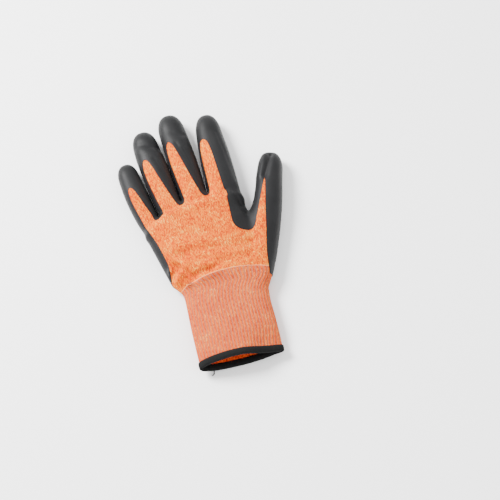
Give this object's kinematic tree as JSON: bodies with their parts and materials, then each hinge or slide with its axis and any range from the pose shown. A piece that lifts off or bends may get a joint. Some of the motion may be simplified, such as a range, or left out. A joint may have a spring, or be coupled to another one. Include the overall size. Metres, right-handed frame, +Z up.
{
  "type": "cut resistant glove",
  "caption": "Seamless knitted work glove for the left hand with a rubber-dipped palm and fingertips, a bare knitted back, a ribbed elastic cuff and an overlocked hem.",
  "frame": {"origin": "on the surface that the glove lies on, under the middle of the palm, at the underside of the palm's coating", "axes": "+X towards the thumb's side, +Y towards the fingertips, +Z up out of the back of the hand"},
  "size_m": [0.1505, 0.2524, 0.026],
  "materials": {
    "liner_knit": "fine plain knit of melange yarn, matte",
    "cuff_knit": "ribbed knit of paler melange yarn, matte",
    "coating": "foam rubber dip, matte with a soft sheen",
    "hem_thread": "overlocked thread, matte",
    "elastic_yarn": "covered elastic yarn"
  },
  "bodies": {
    "palm": {"palm_liner": "liner_knit", "palm_coating": "coating"},
    "cuff": {"rib_cuff": "cuff_knit", "heel_coating": "coating", "cuff_hem": "hem_thread", "cuff_elastic": "elastic_yarn", "hem_thread_tail": "hem_thread"},
    "index_proximal": {"index_proximal_liner": "liner_knit", "index_proximal_coating": "coating"},
    "index_middle": {"index_middle_liner": "liner_knit", "index_middle_coating": "coating"},
    "index_distal": {"index_distal_liner": "liner_knit", "index_distal_coating": "coating"},
    "middle_proximal": {"middle_proximal_liner": "liner_knit", "middle_proximal_coating": "coating"},
    "middle_middle": {"middle_middle_liner": "liner_knit", "middle_middle_coating": "coating"},
    "middle_distal": {"middle_distal_liner": "liner_knit", "middle_distal_coating": "coating"},
    "ring_proximal": {"ring_proximal_liner": "liner_knit", "ring_proximal_coating": "coating"},
    "ring_middle": {"ring_middle_liner": "liner_knit", "ring_middle_coating": "coating"},
    "ring_distal": {"ring_distal_liner": "liner_knit", "ring_distal_coating": "coating"},
    "pinky_proximal": {"pinky_proximal_liner": "liner_knit", "pinky_proximal_coating": "coating"},
    "pinky_middle": {"pinky_middle_liner": "liner_knit", "pinky_middle_coating": "coating"},
    "pinky_distal": {"pinky_distal_liner": "liner_knit", "pinky_distal_coating": "coating"},
    "thumb_proximal": {"thumb_proximal_liner": "liner_knit", "thumb_proximal_coating": "coating"},
    "thumb_distal": {"thumb_distal_liner": "liner_knit", "thumb_distal_coating": "coating"}
  },
  "joints": [
    {"name": "wrist_bend", "type": "hinge", "parent": "palm", "child": "cuff", "pos_m": [-0.001, -0.04, 0.012], "axis": [1, 0, 0], "range_deg": [-30, 30]},
    {"name": "index_root_bend", "type": "hinge", "parent": "palm", "child": "index_proximal", "pos_m": [0.01496, 0.0587, 0.0085], "axis": [-0.9997, -0.0262, 0], "range_deg": [0, 70]},
    {"name": "index_middle_bend", "type": "hinge", "parent": "index_proximal", "child": "index_middle", "pos_m": [0.01436, 0.08169, 0.0085], "axis": [-0.9997, -0.0262, 0], "range_deg": [0, 85]},
    {"name": "index_tip_bend", "type": "hinge", "parent": "index_middle", "child": "index_distal", "pos_m": [0.01373, 0.10568, 0.0085], "axis": [-0.9997, -0.0262, 0], "range_deg": [0, 51]},
    {"name": "middle_root_bend", "type": "hinge", "parent": "palm", "child": "middle_proximal", "pos_m": [-0.01229, 0.05375, 0.0085], "axis": [-0.9945, -0.1045, 0], "range_deg": [0, 70]},
    {"name": "middle_middle_bend", "type": "hinge", "parent": "middle_proximal", "child": "middle_middle", "pos_m": [-0.01527, 0.08209, 0.0085], "axis": [-0.9945, -0.1045, 0], "range_deg": [0, 85]},
    {"name": "middle_tip_bend", "type": "hinge", "parent": "middle_middle", "child": "middle_distal", "pos_m": [-0.01809, 0.10894, 0.0085], "axis": [-0.9945, -0.1045, 0], "range_deg": [0, 51]},
    {"name": "ring_root_bend", "type": "hinge", "parent": "palm", "child": "ring_proximal", "pos_m": [-0.03637, 0.04821, 0.0083], "axis": [-0.99, -0.1409, 0], "range_deg": [0, 70]},
    {"name": "ring_middle_bend", "type": "hinge", "parent": "ring_proximal", "child": "ring_middle", "pos_m": [-0.04003, 0.07395, 0.0083], "axis": [-0.99, -0.1409, 0], "range_deg": [0, 85]},
    {"name": "ring_tip_bend", "type": "hinge", "parent": "ring_middle", "child": "ring_distal", "pos_m": [-0.04355, 0.0987, 0.0083], "axis": [-0.99, -0.1409, 0], "range_deg": [0, 51]},
    {"name": "pinky_root_bend", "type": "hinge", "parent": "palm", "child": "pinky_proximal", "pos_m": [-0.05836, 0.0423, 0.0076], "axis": [-0.9755, -0.2198, 0], "range_deg": [0, 70]},
    {"name": "pinky_middle_bend", "type": "hinge", "parent": "pinky_proximal", "child": "pinky_middle", "pos_m": [-0.06221, 0.05938, 0.0076], "axis": [-0.9755, -0.2198, 0], "range_deg": [0, 85]},
    {"name": "pinky_tip_bend", "type": "hinge", "parent": "pinky_middle", "child": "pinky_distal", "pos_m": [-0.06594, 0.07596, 0.0076], "axis": [-0.9755, -0.2198, 0], "range_deg": [0, 51]},
    {"name": "thumb_root_bend", "type": "hinge", "parent": "palm", "child": "thumb_proximal", "pos_m": [0.05049, 0.02757, 0.0088], "axis": [-0.9573, 0.289, 0], "range_deg": [0, 50]},
    {"name": "thumb_tip_bend", "type": "hinge", "parent": "thumb_proximal", "child": "thumb_distal", "pos_m": [0.05801, 0.05246, 0.0088], "axis": [-0.9573, 0.289, 0], "range_deg": [0, 65]}
  ],
  "couplings": [
    {"joint": "index_tip_bend", "follows": "index_middle_bend", "ratio": 0.6},
    {"joint": "middle_tip_bend", "follows": "middle_middle_bend", "ratio": 0.6},
    {"joint": "ring_tip_bend", "follows": "ring_middle_bend", "ratio": 0.6},
    {"joint": "pinky_tip_bend", "follows": "pinky_middle_bend", "ratio": 0.6}
  ]
}
